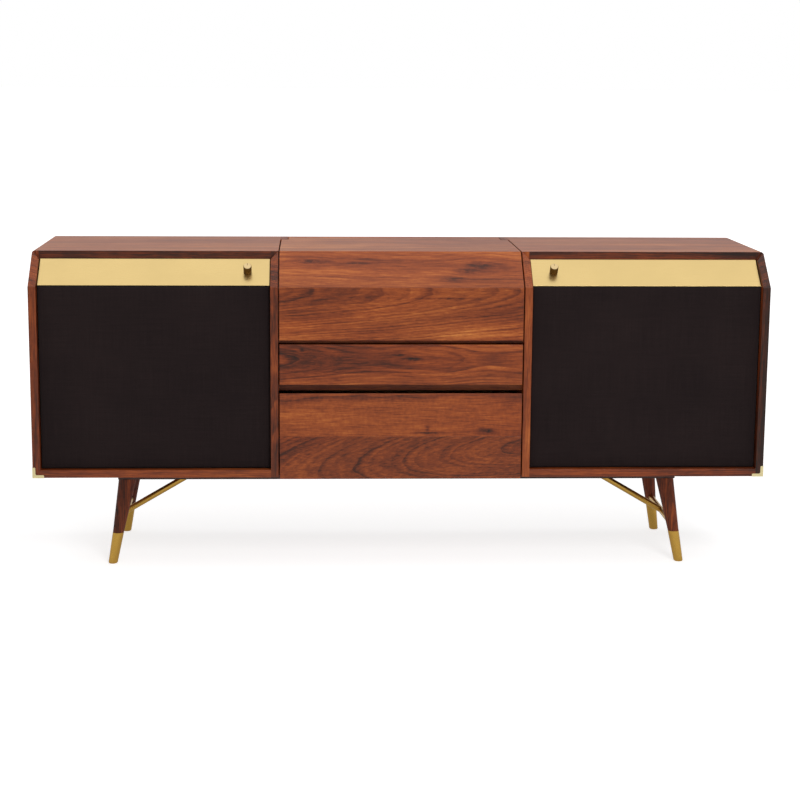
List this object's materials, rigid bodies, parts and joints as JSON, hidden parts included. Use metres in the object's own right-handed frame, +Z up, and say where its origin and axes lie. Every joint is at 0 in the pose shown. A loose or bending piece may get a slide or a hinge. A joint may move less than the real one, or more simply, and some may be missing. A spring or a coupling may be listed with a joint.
{
  "type": "record player console",
  "caption": "Walnut sideboard with a turntable under a hinged lid, drawers below it, cloth-fronted speaker cabinets with brass control strips, and splayed brass-footed legs.",
  "frame": {"origin": "on the floor, under the middle of the body", "axes": "+X to the right seen from the front, +Y from front to back, +Z up"},
  "size_m": [1.8212, 0.4866, 0.808],
  "materials": {
    "walnut": "satin oiled, horizontal figure",
    "dark_walnut": "satin",
    "brass": "brushed satin",
    "grille_cloth": "matt woven",
    "black_board": "matt black",
    "back_board": "veneered board",
    "drawer_wood": "satin",
    "dark_steel": "matt black paint",
    "steel": "brushed",
    "black_plastic": "matt",
    "black_lacquer": "satin lacquer",
    "rubber": "matt",
    "satin_aluminium": "satin",
    "paper_cone": "matt paper"
  },
  "bodies": {
    "root": {"outer_side_panels": "walnut", "inner_side_panels": "walnut", "top_boards": "walnut", "bottom_boards": "walnut", "back_panels": "back_board", "hinge_rail": "walnut", "bay_liners": "walnut", "bay_shelves": "back_board", "base_rails": "dark_steel", "legs": "dark_walnut", "leg_ferrules": "brass", "leg_braces": "brass", "corner_caps": "brass", "control_fascias": "brass", "control_potentiometers": "steel", "speaker_baffles": "black_board", "woofer_baskets": "dark_steel", "woofer_cones": "paper_cone", "tweeters": "black_plastic", "amplifier_case": "dark_steel", "terminal_plate": "black_plastic", "hinge_fixed_leaf": "brass", "hinge_pin": "steel", "strut_carcass_brackets": "steel", "drawer_channels": "steel", "turntable_plinth": "black_lacquer", "isolation_feet": "rubber", "platter_bearing": "brass", "motor": "steel", "drive_belt": "rubber", "tonearm_base": "satin_aluminium", "arm_rest": "black_plastic"},
    "lid": {"lid_top_board": "walnut", "lid_slope_board": "walnut", "lid_front_board": "walnut", "hinge_lid_leaf": "brass", "strut_lid_brackets": "steel"},
    "strut_tubes": {"strut_tubes": "black_lacquer"},
    "strut_rods": {"strut_rods": "steel"},
    "upper_drawer": {"upper_drawer_front": "walnut", "upper_drawer_box": "drawer_wood"},
    "lower_drawer": {"lower_drawer_front": "walnut", "lower_drawer_box": "drawer_wood"},
    "grille_left": {"grille_frame_left": "black_board", "grille_cloth_left": "grille_cloth"},
    "grille_right": {"grille_frame_right": "black_board", "grille_cloth_right": "grille_cloth"},
    "volume_knob": {"volume_knob": "brass"},
    "source_knob": {"source_knob": "brass"},
    "platter": {"platter": "satin_aluminium", "platter_mat": "rubber", "platter_spindle": "steel"},
    "motor_pulley": {"motor_pulley": "brass"},
    "tonearm_yoke": {"tonearm_gimbal": "satin_aluminium"},
    "tonearm": {"tonearm_tube": "satin_aluminium", "headshell": "black_plastic"},
    "counterweight": {"counterweight": "steel"},
    "cue_lever": {"cue_lever": "satin_aluminium"},
    "cue_lifter": {"cue_lifter": "satin_aluminium"},
    "speed_knob": {"speed_knob": "black_plastic"}
  },
  "joints": [
    {"name": "lid_hinge", "type": "hinge", "parent": "root", "child": "lid", "pos_m": [0, 0.2185, 0.8055], "axis": [-1, 0, 0], "range_deg": [0, 75]},
    {"name": "strut_tube_pivot", "type": "hinge", "parent": "root", "child": "strut_tubes", "pos_m": [0, 0.19778, 0.63677], "axis": [-1, 0, 0], "range_deg": [0, 37.5]},
    {"name": "strut_rod_pivot", "type": "hinge", "parent": "lid", "child": "strut_rods", "pos_m": [0, 0.05015, 0.78184], "axis": [-1, 0, 0], "range_deg": [-37.5, 0]},
    {"name": "upper_drawer_slide", "type": "slide", "parent": "root", "child": "upper_drawer", "axis": [0, -1, 0], "range_m": [0, 0.32]},
    {"name": "lower_drawer_slide", "type": "slide", "parent": "root", "child": "lower_drawer", "axis": [0, -1, 0], "range_m": [0, 0.33]},
    {"name": "grille_left_pull", "type": "slide", "parent": "root", "child": "grille_left", "axis": [0, -1, 0], "range_m": [0, 0.04]},
    {"name": "grille_right_pull", "type": "slide", "parent": "root", "child": "grille_right", "axis": [0, -1, 0], "range_m": [0, 0.04]},
    {"name": "volume_turn", "type": "hinge", "parent": "root", "child": "volume_knob", "pos_m": [-0.378, -0.19125, 0.76], "axis": [0, -0.6538, 0.7566], "range_deg": [-150, 150]},
    {"name": "source_turn", "type": "hinge", "parent": "root", "child": "source_knob", "pos_m": [0.378, -0.19125, 0.76], "axis": [0, -0.6538, 0.7566], "range_deg": [-60, 60]},
    {"name": "platter_spin", "type": "hinge", "parent": "root", "child": "platter", "pos_m": [-0.05, 0.002, 0.657], "axis": [0, 0, -1], "continuous": true},
    {"name": "pulley_spin", "type": "hinge", "parent": "root", "child": "motor_pulley", "pos_m": [-0.135, -0.058, 0.657], "axis": [0, 0, -1], "continuous": true},
    {"name": "arm_swing", "type": "hinge", "parent": "root", "child": "tonearm_yoke", "pos_m": [0.132, 0.11, 0.714], "axis": [0, 0, -1], "range_deg": [0, 45]},
    {"name": "arm_lift", "type": "hinge", "parent": "tonearm_yoke", "child": "tonearm", "pos_m": [0.132, 0.11, 0.714], "axis": [-1, 0, 0], "range_deg": [0, 6]},
    {"name": "counterweight_turn", "type": "hinge", "parent": "tonearm", "child": "counterweight", "pos_m": [0.132, 0.15, 0.714], "axis": [0, 1, 0], "range_deg": [-180, 180]},
    {"name": "cue_lever_turn", "type": "hinge", "parent": "root", "child": "cue_lever", "pos_m": [0.163, 0.074, 0.673], "axis": [-1, 0, 0], "range_deg": [0, 45]},
    {"name": "cue_lifter_rise", "type": "slide", "parent": "root", "child": "cue_lifter", "axis": [0, 0, 1], "range_m": [0, 0.0033]},
    {"name": "speed_turn", "type": "hinge", "parent": "root", "child": "speed_knob", "pos_m": [-0.188, -0.145, 0.657], "axis": [0, 0, 1], "range_deg": [-45, 45]}
  ],
  "couplings": [
    {"joint": "strut_tube_pivot", "follows": "lid_hinge", "ratio": 0.5},
    {"joint": "strut_rod_pivot", "follows": "lid_hinge", "ratio": -0.5},
    {"joint": "pulley_spin", "follows": "platter_spin", "ratio": 10},
    {"joint": "cue_lever_turn", "follows": "arm_lift", "ratio": 7.5},
    {"joint": "cue_lifter_rise", "follows": "arm_lift", "m_per_rad": 0.031}
  ]
}
